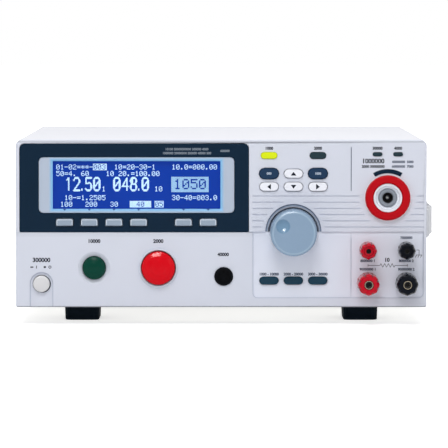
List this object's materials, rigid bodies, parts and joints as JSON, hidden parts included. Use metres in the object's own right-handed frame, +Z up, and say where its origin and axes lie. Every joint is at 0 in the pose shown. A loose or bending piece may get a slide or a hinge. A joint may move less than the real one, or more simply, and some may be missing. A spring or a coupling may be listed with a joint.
{
  "type": "hipot tester",
  "caption": "Bench high-voltage insulation tester: low sheet-metal case with moulded front, display, keys, knob, push buttons, binding posts, tilt legs and side strap handle.",
  "frame": {"origin": "on the bench, under the middle of the box round the whole object, handle and terminals included", "axes": "+X to the user's right as they face the front, +Y from the front to the rear, +Z up"},
  "size_m": [0.3438, 0.4684, 0.148],
  "materials": {
    "case_grey": "fine satin paint",
    "panel_grey": "fine moulded satin",
    "window_navy": "smooth tinted sheet",
    "surround_white": "moulded satin",
    "display_blue": "backlit display glass",
    "key_grey": "moulded satin",
    "key_navy": "moulded satin",
    "key_white": "moulded satin",
    "start_green": "polished cap",
    "stop_red": "polished cap",
    "button_white": "moulded satin",
    "knob_blue": "moulded satin",
    "lens_green": "lit lens",
    "lens_dark": "unlit lens",
    "socket_black": "moulded satin",
    "terminal_red": "polished moulding",
    "terminal_black": "polished moulding",
    "insulator_white": "moulded satin",
    "socket_grey": "moulded satin",
    "rubber_navy": "fine matt",
    "zinc_steel": "plated sheet",
    "board_green": "solder mask",
    "core_steel": "varnished laminations"
  },
  "bodies": {
    "case": {"bottom_tray": "zinc_steel", "display_window": "window_navy", "fail_lens": "lens_dark", "fan_frame": "socket_black", "front_bezel": "panel_grey", "front_handle_cap": "surround_white", "front_left_foot": "rubber_navy", "front_right_foot": "rubber_navy", "front_subpanel": "zinc_steel", "handle_strap": "surround_white", "hv_arc_lens": "window_navy", "hv_insulator": "insulator_white", "hv_ring": "terminal_red", "hv_socket": "socket_grey", "hv_transformer": "core_steel", "lcd_frame": "surround_white", "lcd_panel": "display_blue", "main_board": "board_green", "mains_inlet": "socket_black", "pass_lens": "lens_green", "power_switch": "socket_black", "rear_handle_cap": "surround_white", "rear_left_foot": "rubber_navy", "rear_panel": "case_grey", "rear_right_foot": "rubber_navy", "remote_socket": "socket_black", "rotary_encoder": "socket_black", "sense_black_post": "terminal_black", "sense_red_post": "terminal_red", "source_black_post": "terminal_black", "source_red_post": "terminal_red", "status_light_pipe": "lens_dark", "stop_bezel_ring": "panel_grey", "top_cover": "case_grey"},
    "soft_key_1": {"soft_key_1": "key_grey"},
    "soft_key_2": {"soft_key_2": "key_grey"},
    "soft_key_3": {"soft_key_3": "key_grey"},
    "soft_key_4": {"soft_key_4": "key_grey"},
    "soft_key_5": {"soft_key_5": "key_grey"},
    "soft_key_6": {"soft_key_6": "key_grey"},
    "esc_key": {"esc_key": "key_navy"},
    "up_key": {"up_key": "key_white"},
    "page_key": {"page_key": "key_navy"},
    "left_key": {"left_key": "key_white"},
    "down_key": {"down_key": "key_white"},
    "right_key": {"right_key": "key_white"},
    "mode_key_1": {"mode_key_1": "key_navy"},
    "mode_key_2": {"mode_key_2": "key_navy"},
    "mode_key_3": {"mode_key_3": "key_navy"},
    "start_button": {"start_button": "start_green"},
    "stop_button": {"stop_button": "stop_red"},
    "power_button": {"power_button": "button_white"},
    "selector_knob": {"selector_knob": "knob_blue"},
    "fan_rotor": {"fan_rotor": "socket_black"},
    "left_tilt_leg": {"left_tilt_leg": "rubber_navy"},
    "right_tilt_leg": {"right_tilt_leg": "rubber_navy"},
    "sense_red_nut": {"sense_red_nut": "terminal_red"},
    "sense_black_nut": {"sense_black_nut": "terminal_black"},
    "source_red_nut": {"source_red_nut": "terminal_red"},
    "source_black_nut": {"source_black_nut": "terminal_black"}
  },
  "joints": [
    {"name": "soft_key_1_press", "type": "slide", "parent": "case", "child": "soft_key_1", "axis": [0, 1, 0], "range_m": [0, 0.0012], "stiffness_N_per_m": 250},
    {"name": "soft_key_2_press", "type": "slide", "parent": "case", "child": "soft_key_2", "axis": [0, 1, 0], "range_m": [0, 0.0012], "stiffness_N_per_m": 250},
    {"name": "soft_key_3_press", "type": "slide", "parent": "case", "child": "soft_key_3", "axis": [0, 1, 0], "range_m": [0, 0.0012], "stiffness_N_per_m": 250},
    {"name": "soft_key_4_press", "type": "slide", "parent": "case", "child": "soft_key_4", "axis": [0, 1, 0], "range_m": [0, 0.0012], "stiffness_N_per_m": 250},
    {"name": "soft_key_5_press", "type": "slide", "parent": "case", "child": "soft_key_5", "axis": [0, 1, 0], "range_m": [0, 0.0012], "stiffness_N_per_m": 250},
    {"name": "soft_key_6_press", "type": "slide", "parent": "case", "child": "soft_key_6", "axis": [0, 1, 0], "range_m": [0, 0.0012], "stiffness_N_per_m": 250},
    {"name": "esc_key_press", "type": "slide", "parent": "case", "child": "esc_key", "axis": [0, 1, 0], "range_m": [0, 0.0012], "stiffness_N_per_m": 250},
    {"name": "up_key_press", "type": "slide", "parent": "case", "child": "up_key", "axis": [0, 1, 0], "range_m": [0, 0.0012], "stiffness_N_per_m": 250},
    {"name": "page_key_press", "type": "slide", "parent": "case", "child": "page_key", "axis": [0, 1, 0], "range_m": [0, 0.0012], "stiffness_N_per_m": 250},
    {"name": "left_key_press", "type": "slide", "parent": "case", "child": "left_key", "axis": [0, 1, 0], "range_m": [0, 0.0012], "stiffness_N_per_m": 250},
    {"name": "down_key_press", "type": "slide", "parent": "case", "child": "down_key", "axis": [0, 1, 0], "range_m": [0, 0.0012], "stiffness_N_per_m": 250},
    {"name": "right_key_press", "type": "slide", "parent": "case", "child": "right_key", "axis": [0, 1, 0], "range_m": [0, 0.0012], "stiffness_N_per_m": 250},
    {"name": "mode_key_1_press", "type": "slide", "parent": "case", "child": "mode_key_1", "axis": [0, 1, 0], "range_m": [0, 0.0012], "stiffness_N_per_m": 250},
    {"name": "mode_key_2_press", "type": "slide", "parent": "case", "child": "mode_key_2", "axis": [0, 1, 0], "range_m": [0, 0.0012], "stiffness_N_per_m": 250},
    {"name": "mode_key_3_press", "type": "slide", "parent": "case", "child": "mode_key_3", "axis": [0, 1, 0], "range_m": [0, 0.0012], "stiffness_N_per_m": 250},
    {"name": "start_button_press", "type": "slide", "parent": "case", "child": "start_button", "axis": [0, 1, 0], "range_m": [0, 0.003], "stiffness_N_per_m": 250},
    {"name": "stop_button_press", "type": "slide", "parent": "case", "child": "stop_button", "axis": [0, 1, 0], "range_m": [0, 0.003], "stiffness_N_per_m": 250},
    {"name": "power_button_press", "type": "slide", "parent": "case", "child": "power_button", "axis": [0, 1, 0], "range_m": [0, 0.0034], "stiffness_N_per_m": 250},
    {"name": "selector_knob_turn", "type": "hinge", "parent": "case", "child": "selector_knob", "pos_m": [0.05105, -0.2083, 0.0745], "axis": [0, 1, 0], "continuous": true},
    {"name": "fan_spin", "type": "hinge", "parent": "case", "child": "fan_rotor", "pos_m": [-0.07695, 0.2117, 0.081], "axis": [0, 1, 0], "continuous": true},
    {"name": "left_leg_fold", "type": "hinge", "parent": "case", "child": "left_tilt_leg", "pos_m": [-0.11995, -0.1523, 0.0034], "axis": [-1, 0, 0], "range_deg": [0, 80]},
    {"name": "right_leg_fold", "type": "hinge", "parent": "case", "child": "right_tilt_leg", "pos_m": [0.10605, -0.1523, 0.0034], "axis": [-1, 0, 0], "range_deg": [0, 80]},
    {"name": "sense_red_nut_unscrew", "type": "hinge", "parent": "case", "child": "sense_red_nut", "pos_m": [0.11085, -0.2083, 0.06], "axis": [0, -1, 0], "range_deg": [0, 1440]},
    {"name": "sense_black_nut_unscrew", "type": "hinge", "parent": "case", "child": "sense_black_nut", "pos_m": [0.14175, -0.2083, 0.06], "axis": [0, -1, 0], "range_deg": [0, 1440]},
    {"name": "source_red_nut_unscrew", "type": "hinge", "parent": "case", "child": "source_red_nut", "pos_m": [0.11085, -0.2083, 0.0334], "axis": [0, -1, 0], "range_deg": [0, 1440]},
    {"name": "source_black_nut_unscrew", "type": "hinge", "parent": "case", "child": "source_black_nut", "pos_m": [0.14175, -0.2083, 0.0334], "axis": [0, -1, 0], "range_deg": [0, 1440]}
  ]
}
